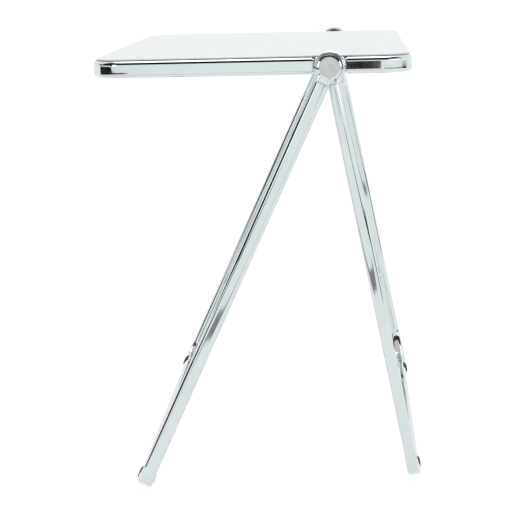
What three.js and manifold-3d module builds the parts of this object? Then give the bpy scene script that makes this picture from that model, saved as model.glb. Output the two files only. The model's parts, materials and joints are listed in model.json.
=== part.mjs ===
// A folding desk: a white top in a chromed rim, and two U-shaped chromed leg frames. All three turn on one
// hub axis, with a stack of three castings at each side, and fold flat into one plane.
// Millimetres. +Z is up, -X is the side where the user sits, and the hub axis runs along Y.

import * as THREE from "three";
import { mergeVertices } from "three/addons/utils/BufferGeometryUtils.js";
import Module from "manifold-3d";

const wasm = await Module();
wasm.setup();

// ---- Driving dimensions ----

const HUB_HEIGHT = 706;
const TOP_REACH_FRONT = 387; // hub axis to the front edge of the rim
const TOP_REACH_REAR = 134;
const FRONT_LEAN = 25.2; // degrees from upright
const REAR_LEAN = 10.7;
const FOLD_REAR = FRONT_LEAN + REAR_LEAN; // closes the rear frame onto the front frame
const FOLD_TOP = 90 + FRONT_LEAN; // lifts the top into line with the front frame

const GAP = 0.3; // left between pieces that touch
const WALL = 1.5; // of every tube
const BEND_STEPS = 6;
const CORNER_STEPS = 3; // in each rounded corner of a section
const ROUND_STEPS = 36; // in a hub disc
const HOLE_STEPS = 20;
const SCREW_STEPS = 12;

// Each frame's tube: outer face from the middle of the desk, width across the frame's plane, thickness along Y,
// radius of the section's corners, outer radius of the two bends, the share by which the tube spreads at the middle
// of a bend, where it starts below the hub axis, and how far the middle of a leg frame's glide lies from the outer
// face.
const FRONT = { outer: 425, wide: 24.5, thick: 16, round: 7.4, bend: 46, flare: 0.1, start: 29, glide: 67 };
const REAR = { outer: 405, wide: 19, thick: 15, round: 6.9, bend: 75, flare: 0.2, start: 29, glide: 103 };
const RIM = { outer: 385, wide: 28, thick: 16, round: 7.2, bend: 52, flare: 0, start: 27.6 };

const PIVOT = 6; // radius of the hub bolt
const STOP = 2; // radius of the stop pin
const STOP_ORBIT = 11.5; // hub axis to stop pin
const STOP_ANGLE = 90 + FOLD_TOP / 2; // of the stop pin, from straight up towards the rear

// Each casting's neck lies between its disc and the tube.
const FRONT_NECK = { wide: 19, thick: 13, round: 5 };
const REAR_NECK = { wide: 15, thick: 12, round: 4.5 };

const SCREW_REACH = 95; // hub axis to the screw in each leg
const SPIGOT_REACH = 110;
const RIM_SPIGOT_REACH = 78;
const RIM_SCREW = { radius: 2.9, length: 11, sunk: 0.5, reach: 56 };

const GLIDE = { wall: 2.5, length: 30, lip: 3.5, sole: 2.5 };

const SKIN = { thick: 2, inset: 4.5 };
const CORE = { thick: 18, inset: 0.8 };
const TAB = { length: 46, reach: 20, drop: 8, thick: 2, along: 230 };

// ---- Materials ----

const material = (color, roughness, metalness) =>
  new THREE.MeshStandardMaterial({ color, roughness, metalness });
const CHROME = material(0xdfe4e6, 0.08, 1);
const BRUSHED = material(0xc2c8c8, 0.38, 1);
const STEEL = material(0x9a9fa2, 0.35, 1);
const NYLON = material(0x1b1c1e, 0.55, 0);
const RUBBER = material(0x17181a, 0.75, 0);
const LAMINATE = material(0xedf1f2, 0.35, 0);
const BOARD = material(0xd9d4c8, 0.8, 0);

// ---- Solids ----

const radians = THREE.MathUtils.degToRad;

// A closed geometry as a manifold solid.
function solid(geometry) {
  const bare = geometry.clone();
  bare.deleteAttribute("normal");
  bare.deleteAttribute("uv");
  const merged = mergeVertices(bare, 1e-4);
  return new wasm.Manifold(
    new wasm.Mesh({
      numProp: 3,
      vertProperties: merged.attributes.position.array,
      triVerts: new Uint32Array(merged.index.array),
    }),
  );
}

function geometryOf(body) {
  const mesh = body.getMesh();
  const geometry = new THREE.BufferGeometry();
  geometry.setAttribute("position", new THREE.BufferAttribute(new Float32Array(mesh.vertProperties), 3));
  geometry.setIndex(new THREE.BufferAttribute(new Uint32Array(mesh.triVerts), 1));
  geometry.computeVertexNormals();
  return geometry;
}

const join = (...parts) => geometryOf(parts.map(solid).reduce((all, part) => all.add(part)));

const cut = (whole, ...holes) =>
  geometryOf(holes.map(solid).reduce((left, hole) => left.subtract(hole), solid(whole)));

function roundedRectangle(width, height, radius) {
  const x = width / 2 - radius;
  const y = height / 2 - radius;
  const shape = new THREE.Shape();
  shape.absarc(x, y, radius, 0, Math.PI / 2);
  shape.absarc(-x, y, radius, Math.PI / 2, Math.PI);
  shape.absarc(-x, -y, radius, Math.PI, 1.5 * Math.PI);
  shape.absarc(x, -y, radius, 1.5 * Math.PI, 2 * Math.PI);
  return shape;
}

// A straight bar of rounded section, from z = -from down to z = -to; its section is wide along X and thick along Y.
function bar(wide, thick, round, from, to) {
  const section = roundedRectangle(wide, thick, round);
  const options = { depth: to - from, bevelEnabled: false, curveSegments: CORNER_STEPS };
  return new THREE.ExtrudeGeometry(section, options).translate(0, 0, -to);
}

// A cylinder along Y between two heights.
function rod(radius, low, high, sides = HOLE_STEPS) {
  return new THREE.CylinderGeometry(radius, radius, high - low, sides).translate(0, (low + high) / 2, 0);
}

// A disc along Y with a rounded edge on its outer face.
function disc(radius, low, high, edge) {
  const profile = [new THREE.Vector2(0, low), new THREE.Vector2(radius, low)];
  const edgeSteps = 2;
  for (let i = 0; i <= edgeSteps; i++) {
    const turn = (i / edgeSteps) * (Math.PI / 2);
    profile.push(
      new THREE.Vector2(radius - edge + edge * Math.cos(turn), high - edge + edge * Math.sin(turn)),
    );
  }
  profile.push(new THREE.Vector2(0, high));
  return new THREE.LatheGeometry(profile, ROUND_STEPS);
}

// A point on a circle about the hub axis, its angle counted from straight up towards the rear.
const onOrbit = (radius, degrees) =>
  new THREE.Vector2(radius * Math.sin(radians(degrees)), radius * Math.cos(radians(degrees)));

// A slot round the hub axis that lets a pin at the stop angle travel back by a number of degrees.
function stopSlot(travel, lean, low, high) {
  const clear = STOP + GAP;
  const first = STOP_ANGLE + lean;
  const steps = Math.ceil(travel / 9);
  const outline = [];
  const capSteps = 4;
  for (let i = 0; i <= steps; i++) outline.push(onOrbit(STOP_ORBIT + clear, first - (travel * i) / steps));
  for (let i = 1; i < capSteps; i++) {
    const centre = onOrbit(STOP_ORBIT, first - travel);
    outline.push(centre.add(onOrbit(clear, first - travel - (180 * i) / capSteps)));
  }
  for (let i = steps; i >= 0; i--) outline.push(onOrbit(STOP_ORBIT - clear, first - (travel * i) / steps));
  for (let i = 1; i < capSteps; i++) {
    const centre = onOrbit(STOP_ORBIT, first);
    outline.push(centre.add(onOrbit(clear, first + 180 - (180 * i) / capSteps)));
  }
  const options = { depth: high - low, bevelEnabled: false };
  const slab = new THREE.ExtrudeGeometry(new THREE.Shape(outline), options);
  return slab.rotateX(Math.PI / 2).translate(0, high, 0);
}

// ---- Bent tubes ----

// The middle line of a U in the YZ plane, open at the top: down one side, across, and up the other.
class UPath extends THREE.Curve {
  constructor(side, start, reach, radius) {
    super();
    this.points = [new THREE.Vector3(0, -side, -start)];
    this.tangents = [new THREE.Vector3(0, 0, -1)];
    for (const sign of [-1, 1]) {
      for (let i = 0; i <= BEND_STEPS; i++) {
        const turn = ((i / BEND_STEPS + (sign < 0 ? 0 : 1)) * Math.PI) / 2;
        const out = new THREE.Vector3(0, -Math.cos(turn), -Math.sin(turn));
        const centre = new THREE.Vector3(0, sign * (side - radius), -(reach - radius));
        this.points.push(centre.addScaledVector(out, radius));
        this.tangents.push(new THREE.Vector3(0, Math.sin(turn), -Math.cos(turn)));
      }
    }
    this.points.push(new THREE.Vector3(0, side, -start));
    this.tangents.push(new THREE.Vector3(0, 0, 1));
  }
  getSpacedPoints() {
    return this.points;
  }
  computeFrenetFrames() {
    const across = new THREE.Vector3(1, 0, 0);
    return {
      tangents: this.tangents,
      normals: this.tangents.map((tangent) => across.clone().cross(tangent)),
      binormals: this.tangents.map(() => across),
    };
  }
}

// A U of hollow tube with open ends, hanging from the hub axis; its section spreads a little in the bends.
function uTube({ outer, wide, thick, round, bend, flare, start }, reach) {
  const side = outer - thick / 2;
  const path = new UPath(side, start, reach - thick / 2, bend - thick / 2);
  const section = roundedRectangle(thick, wide, round);
  section.holes.push(roundedRectangle(thick - 2 * WALL, wide - 2 * WALL, round - WALL));
  const options = { steps: path.points.length - 1, extrudePath: path, curveSegments: CORNER_STEPS };
  const geometry = new THREE.ExtrudeGeometry(section, options);
  const place = geometry.attributes.position;
  for (let i = 0; i < place.count; i++) {
    const beyondY = Math.max(0, Math.abs(place.getY(i)) - (outer - bend));
    const beyondZ = Math.max(0, -place.getZ(i) - (reach - bend));
    const turn = Math.atan2(beyondZ, beyondY);
    place.setX(i, place.getX(i) * (1 + flare * Math.sin(2 * turn) ** 2));
  }
  return geometry;
}

// The middle line of a frame's side tubes, along Y.
const middle = ({ outer, thick }) => outer - thick / 2;

// The part of a casting that plugs into a tube.
const spigot = ({ wide, thick, round }, from, to) => {
  const less = 2 * (WALL + GAP);
  return bar(wide - less, thick - less, round - WALL - GAP, from, to);
};

// ---- Hub castings, made for the +Y side ----

const FRONT_DISC = { radius: 20, low: 408, high: FRONT.outer, edge: 2.6 };
const REAR_DISC = { radius: 24, low: 388.6, high: 405.6, edge: 2.6 };
const RIM_END = 27.3; // radius of the rim casting's rounded ends
const CAP = { radius: 16.8, thick: 2.4, proud: 0.6 };
const HEAD = { radius: 11, thick: 6 };
const NUT = { radius: 10.8, thick: 6, recess: 8 };
const STOP_INNER = 379.5; // where the stop pin ends inside the rim casting
const STOP_OUTER = 415;

const capSeat = FRONT.outer + CAP.proud - CAP.thick - GAP;
const headSeat = capSeat - HEAD.thick - 2 * GAP;
const legScrew = { head: 5.2, headThick: 2.4, shank: 2.9, depth: 12 };

const stopHole = (low, high) => {
  const at = onOrbit(STOP_ORBIT, STOP_ANGLE);
  return rod(STOP + GAP, low, high, 12).translate(at.x, 0, at.y);
};

// A hole for a leg's screw, from the tube's inner face outwards.
function legScrewHole({ outer, thick }) {
  const inner = outer - thick;
  const hole = rod(legScrew.shank + GAP, inner - 1, inner + legScrew.depth, SCREW_STEPS);
  return hole.translate(0, 0, -SCREW_REACH);
}

// The neck runs from the hub axis to the tube's mouth.
const neckOf = ({ wide, thick, round }, frame) =>
  bar(wide, thick, round, 0, frame.start - GAP).translate(0, middle(frame), 0);

function frontHub() {
  const { radius, low, high, edge } = FRONT_DISC;
  const neck = neckOf(FRONT_NECK, FRONT);
  const plug = spigot(FRONT, FRONT.start - 1, SPIGOT_REACH).translate(0, middle(FRONT), 0);
  const whole = join(disc(radius, low, high, edge), neck, plug);
  return cut(
    whole,
    rod(PIVOT + GAP, low - 1, high + 1),
    rod(HEAD.radius + GAP, headSeat, high + 1),
    rod(CAP.radius + GAP, capSeat, high + 1, ROUND_STEPS),
    stopHole(low - 1, STOP_OUTER + GAP).rotateY(radians(-FRONT_LEAN)),
    legScrewHole(FRONT),
  );
}

function rearHub() {
  const { radius, low, high, edge } = REAR_DISC;
  const neck = neckOf(REAR_NECK, REAR);
  const plug = spigot(REAR, REAR.start - 1, SPIGOT_REACH).translate(0, middle(REAR), 0);
  const whole = join(disc(radius, low, high, edge), neck, plug);
  return cut(
    whole,
    rod(PIVOT + GAP, low - 1, high + 1),
    stopSlot(FOLD_REAR, REAR_LEAN, low - 1, high + 1),
    legScrewHole(REAR),
  );
}

// The rim's casting lies in line with the rim tubes, and has one spigot forwards and one to the rear.
function rimHub() {
  const low = RIM.outer - RIM.thick;
  const block = bar(RIM.wide, RIM.thick, 4, -RIM_END - 1, RIM_END + 1)
    .rotateY(Math.PI / 2)
    .translate(0, middle(RIM), 0);
  const round = rod(RIM_END, low - 1, RIM.outer + 1, 2 * ROUND_STEPS);
  const boss = geometryOf(solid(block).intersect(solid(round)));
  const arm = spigot(RIM, 10, RIM_SPIGOT_REACH).translate(0, middle(RIM), 0);
  const arms = [1, -1].map((sign) => arm.clone().rotateY((sign * Math.PI) / 2));
  const screwHole = (sign) =>
    rod(RIM_SCREW.radius + GAP, 0, RIM_SCREW.sunk + RIM_SCREW.length + GAP, SCREW_STEPS)
      .rotateX(Math.PI / 2)
      .translate(sign * RIM_SCREW.reach, middle(RIM), -RIM.wide / 2);
  return cut(
    join(boss, ...arms),
    rod(PIVOT + GAP, low - 1, RIM.outer + 1),
    rod(NUT.radius + 2 * GAP, low - 1, low + NUT.recess),
    stopSlot(FOLD_TOP, 0, STOP_INNER - GAP, RIM.outer + 1),
    screwHole(1),
    screwHole(-1),
  );
}

// ---- Fasteners and washers ----

// A solid turned round Y from points given as radius and height.
const turned = (profile, steps) =>
  new THREE.LatheGeometry(
    profile.map(([x, y]) => new THREE.Vector2(x, y)),
    steps,
  );

// The bolt that all three castings turn on, with its head under the cap.
function pivotBolt() {
  const nutEnd = RIM.outer - RIM.thick + GAP;
  const profile = [
    [0, nutEnd],
    [PIVOT - 1, nutEnd],
    [PIVOT, nutEnd + 1],
    [PIVOT, headSeat + GAP],
    [HEAD.radius, headSeat + GAP],
    [HEAD.radius, headSeat + GAP + HEAD.thick],
    [0, headSeat + GAP + HEAD.thick],
  ];
  return turned(profile, HOLE_STEPS);
}

function pivotNut() {
  const low = RIM.outer - RIM.thick + NUT.recess - GAP - NUT.thick;
  const hexagon = rod(NUT.radius, low, low + NUT.thick, 6);
  return cut(hexagon, rod(PIVOT + GAP, low - 1, low + NUT.thick + 1));
}

function washer(radius, low, high) {
  const blank = rod(radius, low, high, ROUND_STEPS);
  return cut(blank, rod(PIVOT + GAP, low - 1, high + 1), stopHole(low - 1, high + 1));
}

function stopPin() {
  const at = onOrbit(STOP_ORBIT, STOP_ANGLE);
  return rod(STOP, STOP_INNER, STOP_OUTER, 12).translate(at.x, 0, at.y);
}

// A disc with a slightly domed edge, which closes the front casting.
const hubCap = () => disc(CAP.radius, capSeat + GAP, FRONT.outer + CAP.proud, 0.5);

// A button-head screw along +Y with a hexagon socket, its head's underside at y = 0.
function screw({ head, headThick, shank }, length) {
  const profile = [
    [0, -headThick],
    [head * 0.6, -headThick],
    [head, -headThick * 0.4],
    [head, 0],
    [shank, 0],
    [shank, length],
    [0, length],
  ];
  const socket = rod(head * 0.38, -headThick - 1, -headThick * 0.35, 6);
  return cut(turned(profile, SCREW_STEPS), socket);
}

// A headless screw along +Y with a hexagon socket in its end at y = 0.
function setScrew({ radius, length }) {
  return cut(rod(radius, 0, length, SCREW_STEPS), rod(radius * 0.6, -1, 3, 6));
}

// ---- Glides ----

// The frame's reach for which its glide's sole meets the floor.
function reachOf(frame, lean) {
  const side = frame.wide / 2 + GLIDE.wall;
  const drop = HUB_HEIGHT + GLIDE.sole - side * Math.sin(radians(lean));
  return drop / Math.cos(radians(lean)) - GLIDE.wall;
}

const FRONT_REACH = reachOf(FRONT, FRONT_LEAN);
const REAR_REACH = reachOf(REAR, REAR_LEAN);

// A clip round the crossbar, open upwards, with a sole that is level when the desk stands open.
function glide(frame, reach, lean) {
  const { wide, thick, round } = frame;
  const { wall, length, lip } = GLIDE;
  const from = reach - thick - wall;
  const to = reach + wall;
  const along = (shape, low, high) => {
    const options = { depth: high - low, bevelEnabled: false, curveSegments: CORNER_STEPS };
    return new THREE.ExtrudeGeometry(shape, options).rotateX(Math.PI / 2).translate(0, high, 0);
  };
  const block = roundedRectangle(wide + 2 * wall, to - from, 3);
  const bore = roundedRectangle(wide + 2 * GAP, thick + 2 * GAP, round);
  const mouth = roundedRectangle(wide - 2 * lip, 4 * wall, 0.5);
  const floor = new THREE.BoxGeometry(2 * HUB_HEIGHT, length + 4, 40)
    .translate(0, 0, -HUB_HEIGHT - 20)
    .rotateY(radians(-lean));
  return cut(
    along(block, -length / 2, length / 2).translate(0, 0, -(from + to) / 2),
    along(bore, -length, length).translate(0, 0, -(reach - thick / 2)),
    along(mouth, -length, length).translate(0, 0, -from),
    floor,
  ).translate(0, frame.outer - frame.glide, 0);
}

// ---- Top ----

// A rounded plate that covers the rim's outline, less an inset, between two heights.
function plate(inset, low, high) {
  const shape = roundedRectangle(
    TOP_REACH_FRONT + TOP_REACH_REAR - 2 * inset,
    2 * (RIM.outer - inset),
    RIM.bend - inset,
  );
  const options = { depth: high - low, bevelEnabled: false, curveSegments: BEND_STEPS };
  return new THREE.ExtrudeGeometry(shape, options).translate((TOP_REACH_REAR - TOP_REACH_FRONT) / 2, 0, low);
}

const skinLow = RIM.wide / 2 + GAP;
const coreHigh = RIM.wide / 2;
const coreLow = coreHigh - CORE.thick;
const coreInset = RIM.thick + CORE.inset;
const tabScrew = { head: 3.6, headThick: 1.8, shank: 1.9 };
const tabScrewLength = 12;
const tabScrewSpots = [1, -1].flatMap((end) =>
  [1, -1].map((side) => {
    const inner = (end > 0 ? TOP_REACH_REAR : TOP_REACH_FRONT) - RIM.thick;
    return { end, side, x: end * (inner - GAP - TAB.reach * 0.6), y: side * TAB.along, inner };
  }),
);

// An upright hole through a tab and into the board.
const tabScrewHole = ({ x, y }) =>
  rod(tabScrew.shank + GAP, -TAB.thick - 1, tabScrewLength, SCREW_STEPS)
    .rotateX(Math.PI / 2)
    .translate(x, y, coreLow);

function topCore() {
  return cut(plate(coreInset, coreLow, coreHigh), ...tabScrewSpots.map(tabScrewHole));
}

// An angle welded to the rim's inner wall, which the board rests on and is screwed to.
function rimTab(spot) {
  const { end, y, inner } = spot;
  const { length, reach, drop, thick } = TAB;
  const high = coreLow - GAP;
  const shape = new THREE.Shape([
    new THREE.Vector2(0, 0),
    new THREE.Vector2(0, -drop),
    new THREE.Vector2(-thick, -drop),
    new THREE.Vector2(-thick, -thick),
    new THREE.Vector2(-reach, -thick),
    new THREE.Vector2(-reach, 0),
  ]);
  const angle = new THREE.ExtrudeGeometry(shape, { depth: length, bevelEnabled: false })
    .rotateX(Math.PI / 2)
    .translate(inner - GAP, length / 2, high);
  if (end < 0) angle.rotateZ(Math.PI);
  return cut(angle.translate(0, y, 0), tabScrewHole(spot));
}

// ---- Assembly ----

function mesh(name, geometry, finish, parent) {
  const made = new THREE.Mesh(geometry, finish);
  made.name = name;
  parent.add(made);
  return made;
}

const desk = new THREE.Group();
const hub = new THREE.Group();
hub.position.z = HUB_HEIGHT;
desk.add(hub);

// A frame's own group hangs from the hub axis, turned by its lean, with one mirrored group for each side.
function member(lean) {
  const frame = new THREE.Group();
  const left = new THREE.Group();
  const right = new THREE.Group();
  frame.rotation.y = radians(lean);
  left.scale.y = -1;
  frame.add(left, right);
  hub.add(frame);
  return { frame, sides: { left, right } };
}

const front = member(FRONT_LEAN);
const rear = member(-REAR_LEAN);
const top = member(0);

function legTube(frame, reach) {
  const hole = legScrewHole(frame);
  return cut(uTube(frame, reach), hole, hole.clone().rotateZ(Math.PI));
}

// A rim tube, still hanging; its underside is the face that turns down when it is laid level.
function rimTube(reach, underside) {
  const holes = [-1, 1].map((side) =>
    rod(RIM_SCREW.radius + GAP, -WALL - 1, WALL + 1, SCREW_STEPS)
      .rotateZ(Math.PI / 2)
      .translate(underside * (RIM.wide / 2), side * middle(RIM), -RIM_SCREW.reach),
  );
  return cut(uTube(RIM, reach), ...holes);
}

mesh("front_leg_frame", legTube(FRONT, FRONT_REACH), CHROME, front.frame);
mesh("rear_leg_frame", legTube(REAR, REAR_REACH), CHROME, rear.frame);

for (const side of ["left", "right"]) {
  const legs = [
    ["front", FRONT, FRONT_REACH, FRONT_LEAN, front.sides[side], frontHub()],
    ["rear", REAR, REAR_REACH, -REAR_LEAN, rear.sides[side], rearHub()],
  ];
  for (const [name, frame, reach, lean, group, casting] of legs) {
    mesh(`${name}_hub_casting_${side}`, casting, CHROME, group);
    const bolt = mesh(`${name}_leg_screw_${side}`, screw(legScrew, legScrew.depth - GAP), STEEL, group);
    bolt.position.set(0, frame.outer - frame.thick - GAP, -SCREW_REACH);
    mesh(`${name}_glide_${side}`, glide(frame, reach, lean), RUBBER, group);
  }
  mesh(`hub_cap_${side}`, hubCap(), BRUSHED, front.sides[side]);
  mesh(`pivot_bolt_${side}`, pivotBolt(), STEEL, front.sides[side]);
  mesh(`pivot_nut_${side}`, pivotNut(), STEEL, front.sides[side]);

  const level = top.sides[side]; // the stop pin and washers are set out from straight up
  mesh(`stop_pin_${side}`, stopPin(), STEEL, level);
  mesh(`outer_washer_${side}`, washer(21, REAR_DISC.high + GAP, FRONT_DISC.low - GAP), NYLON, level);
  mesh(`inner_washer_${side}`, washer(20, RIM.outer + GAP, REAR_DISC.low - GAP), NYLON, level);
  mesh(`rim_hub_casting_${side}`, rimHub(), CHROME, level);
  for (const [end, sign] of [["front", -1], ["rear", 1]]) {
    const bolt = mesh(`rim_screw_${end}_${side}`, setScrew(RIM_SCREW), STEEL, level);
    bolt.rotation.x = Math.PI / 2;
    bolt.position.set(sign * RIM_SCREW.reach, middle(RIM), RIM_SCREW.sunk - RIM.wide / 2);
  }
}

mesh("rim_front_tube", rimTube(TOP_REACH_FRONT, 1), CHROME, top.frame).rotation.y = Math.PI / 2;
mesh("rim_rear_tube", rimTube(TOP_REACH_REAR, -1), CHROME, top.frame).rotation.y = -Math.PI / 2;
mesh("top_skin", plate(SKIN.inset, skinLow, skinLow + SKIN.thick), LAMINATE, top.frame);
mesh("top_core", topCore(), BOARD, top.frame);
for (const spot of tabScrewSpots) {
  const place = `${spot.end > 0 ? "rear" : "front"}_${spot.side > 0 ? "right" : "left"}`;
  mesh(`rim_tab_${place}`, rimTab(spot), STEEL, top.frame);
  const fixing = mesh(`tab_screw_${place}`, screw(tabScrew, tabScrewLength - 2), STEEL, top.frame);
  fixing.rotation.x = Math.PI / 2;
  fixing.position.set(spot.x, spot.y, coreLow - 2 * GAP - TAB.thick);
}

// The origin is on the floor, in the middle of the desk's outline.
desk.updateMatrixWorld(true);
const bounds = new THREE.Box3().setFromObject(desk, true);
desk.position.x = -(bounds.min.x + bounds.max.x) / 2;

export default desk;
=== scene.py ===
"""The folding desk's looks: fine tubes, castings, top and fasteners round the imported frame, in metres.

+Z is up, -X is the user's side and the hub axis runs along Y, as in the frame. A piece of a leg frame or of
the top is first made hanging straight down from the hub axis, then turned to its member's angle.
"""

import json
import math

import bmesh
import bpy
from mathutils import Matrix, Quaternion, Vector


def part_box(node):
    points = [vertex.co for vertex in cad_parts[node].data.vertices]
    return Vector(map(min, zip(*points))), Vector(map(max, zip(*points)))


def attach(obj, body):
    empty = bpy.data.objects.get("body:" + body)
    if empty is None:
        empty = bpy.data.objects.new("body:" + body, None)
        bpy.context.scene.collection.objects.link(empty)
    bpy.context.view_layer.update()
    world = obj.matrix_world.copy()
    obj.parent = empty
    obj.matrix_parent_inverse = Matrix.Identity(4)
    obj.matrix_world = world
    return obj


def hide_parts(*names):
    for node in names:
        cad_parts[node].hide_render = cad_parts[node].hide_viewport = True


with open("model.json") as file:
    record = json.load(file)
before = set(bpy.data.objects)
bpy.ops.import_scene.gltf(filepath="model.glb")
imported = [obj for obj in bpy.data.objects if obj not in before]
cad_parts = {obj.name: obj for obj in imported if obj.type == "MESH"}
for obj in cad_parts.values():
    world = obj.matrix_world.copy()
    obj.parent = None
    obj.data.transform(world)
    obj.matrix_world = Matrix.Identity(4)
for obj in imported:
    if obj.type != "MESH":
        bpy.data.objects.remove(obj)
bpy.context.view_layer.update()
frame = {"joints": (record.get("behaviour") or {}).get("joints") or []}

# ---- Dimensions ----

MM = 0.001
joints = {joint["name"]: joint for joint in frame["joints"]}
HUB = Vector(joints["top_fold"]["pos_m"])
FRONT_LEAN = joints["top_fold"]["range_deg"][1] - 90
REAR_LEAN = joints["rear_legs_fold"]["range_deg"][1] - FRONT_LEAN

GAP = 0.3 * MM
WALL = 1.5 * MM
RUN_OUT = 8 * MM
PIVOT = 6 * MM
CORE = 0.5 * MM  # radius of the small face in the middle of a turned piece

SECTION_STEPS = 8  # in each rounded corner of a tube's section
FACE_STEPS = 6  # across each flat face of a tube
BEND_STEPS = 28
RUN_OUT_STEPS = 8
DISC_STEPS = 96
HEX_STEPS = 48
SCREW_STEPS = 24
CORNER_STEPS = 20  # round each corner of the top
SHARP_ANGLE = 32  # degrees between faces from which an edge is shaded sharp

# The tube of each member: outer face from the middle of the desk, width across its plane, thickness along Y,
# radius of the section's corners, outer radius of the bends, and where it starts from the hub axis. In a bend
# the section's corners get another radius, it spreads by a share of its width, and its outer face is dished.
FRONT = {"outer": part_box("front_leg_frame")[1].y, "wide": 24.5 * MM, "thick": 16 * MM, "round": 7.4 * MM,
         "bend": 46 * MM, "bent_round": 5 * MM, "flare": 0.1, "dish": 1.6 * MM, "start": 29 * MM}
REAR = {"outer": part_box("rear_leg_frame")[1].y, "wide": 19 * MM, "thick": 15 * MM, "round": 6.9 * MM,
        "bend": 75 * MM, "bent_round": 5 * MM, "flare": 0.2, "dish": 1.4 * MM, "start": 29 * MM}
RIM = {"outer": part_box("rim_front_tube")[1].y, "wide": 28 * MM, "thick": 16 * MM, "round": 7.2 * MM,
       "bend": 52 * MM, "bent_round": 7.2 * MM, "flare": 0.0, "dish": 0.0, "start": 27.6 * MM}
RIM_FRONT_REACH = HUB.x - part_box("rim_front_tube")[0].x
RIM_REAR_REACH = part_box("rim_rear_tube")[1].x - HUB.x

SPIGOT = {"overlap": 4 * MM, "end": 110 * MM}
RIM_SPIGOT = {"start": 20 * MM, "end": 78 * MM}
LEG_SCREW_REACH = 95 * MM
CAP = {"radius": 16.4 * MM, "thick": 2.4 * MM, "ease": 0.5 * MM}
BOLT = {"radius": 11 * MM, "thick": 6 * MM, "ease": 0.6 * MM, "socket": 4 * MM, "deep": 3 * MM}
NUT = {"radius": 10.8 * MM, "flat": 9.6 * MM, "ease": 0.7 * MM}
WASHER_RADII = {"outer": 21 * MM, "inner": 20 * MM}
GLIDE = {"wall": 2.5 * MM, "length": 30 * MM, "lip": 3.5 * MM, "sole": 2.5 * MM, "ease": 1.2 * MM}

# ---- Mesh building ----


def new_piece(name, body, slot, build, *nodes, smooth=SHARP_ANGLE):
    """A closed mesh made by build(bm), in place, which rides on a body and stands for its CAD nodes."""
    mesh = bpy.data.meshes.new(name)
    bm = bmesh.new()
    build(bm)
    bmesh.ops.remove_doubles(bm, verts=bm.verts, dist=1e-7)
    bmesh.ops.recalc_face_normals(bm, faces=bm.faces)
    for face in bm.faces:
        face.smooth = True
    bm.to_mesh(mesh)
    bm.free()
    mesh.set_sharp_from_angle(angle=math.radians(smooth))
    piece = bpy.data.objects.new(name, mesh)
    bpy.context.scene.collection.objects.link(piece)
    even = piece.modifiers.new("even_shading", "WEIGHTED_NORMAL")
    even.keep_sharp = True
    even.weight = 100
    mesh.materials.append(MATERIALS[slot])
    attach(piece, body)
    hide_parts(*nodes)
    return piece


def add_rings(bm, rings, cyclic=False):
    """Quads between rings of equally many points; the ends are filled unless the rings are cyclic."""
    loops = [[bm.verts.new(point) for point in ring] for ring in rings]
    pairs = list(zip(loops, loops[1:]))
    if cyclic:
        pairs.append((loops[-1], loops[0]))
    for a, b in pairs:
        for i in range(len(a)):
            j = (i + 1) % len(a)
            bm.faces.new((a[i], a[j], b[j], b[i]))
    if not cyclic:
        bm.faces.new(loops[0][::-1])
        bm.faces.new(loops[-1])


def moved(matrix, rings):
    return [[matrix @ point for point in ring] for ring in rings]


def member(lean):
    """From hanging straight down from the hub axis to a member's own angle, in degrees."""
    return Matrix.Translation(HUB) @ Matrix.Rotation(math.radians(lean), 4, "Y")


def rounded_section(wide, deep, radius):
    """Points round a rectangle with rounded corners, more of them across its wide faces."""
    points = []
    half_wide, half_deep = wide / 2 - radius, deep / 2 - radius
    corners = [(1, 1, 0), (-1, 1, 90), (-1, -1, 180), (1, -1, 270)]
    for index, (sx, sy, start) in enumerate(corners):
        for i in range(SECTION_STEPS + 1):
            turn = math.radians(start + 90 * i / SECTION_STEPS)
            across, along = radius * math.cos(turn), radius * math.sin(turn)
            points.append((sx * half_wide + across, sy * half_deep + along))
        if index in (0, 2):
            for i in range(1, FACE_STEPS):
                share = 1 - 2 * i / FACE_STEPS
                points.append((sx * share * half_wide, sy * (half_deep + radius)))
    return points


# ---- Bent tubes ----


def eased(value, low, high):
    share = min(1.0, max(0.0, (value - low) / (high - low)))
    return share * share * (3 - 2 * share)


def u_line(side, start, reach, radius):
    """Centre points and tangents of a U in the YZ plane, with how far the bend flattens the tube, 0 to 1."""
    half = [(Vector((0, -side, -start)), Vector((0, 0, -1)), 0.0)]
    centre = Vector((0, -(side - radius), -(reach - radius)))
    for i in range(BEND_STEPS + 1):
        turn = i / BEND_STEPS * math.pi / 2
        out = Vector((0, -math.cos(turn), -math.sin(turn)))
        tangent = Vector((0, math.sin(turn), -math.cos(turn)))
        half.append((centre + out * radius, tangent, eased(i / BEND_STEPS, 0.05, 0.6)))
    for i in range(1, RUN_OUT_STEPS + 1):
        along = RUN_OUT * i / RUN_OUT_STEPS
        flat = 1 - eased(i / RUN_OUT_STEPS, 0.0, 1.0)
        half.append((Vector((0, -(side - radius) + along, -reach)), Vector((0, 1, 0)), flat))
    other = [(Vector((0, -p.y, p.z)), Vector((0, t.y, -t.z)), flat) for p, t, flat in reversed(half)]
    return half + other


def tube_ring(tube, centre, tangent, flat, inset):
    """The tube's section at a point of its line, set in from its outside, and squarer where it is bent."""
    across = Vector((1, 0, 0))
    out = tangent.cross(across)
    half = tube["wide"] / 2
    square = tube["round"] + (tube["bent_round"] - tube["round"]) * flat
    ring = []
    for u, v in rounded_section(tube["wide"] - 2 * inset, tube["thick"] - 2 * inset, square - inset):
        sunk = tube["dish"] * flat * max(0.0, v / (tube["thick"] / 2)) * (1 - (u / half) ** 2) ** 2
        ring.append(centre + across * (u * (1 + tube["flare"] * flat)) + out * (v - sunk))
    return ring


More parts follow.
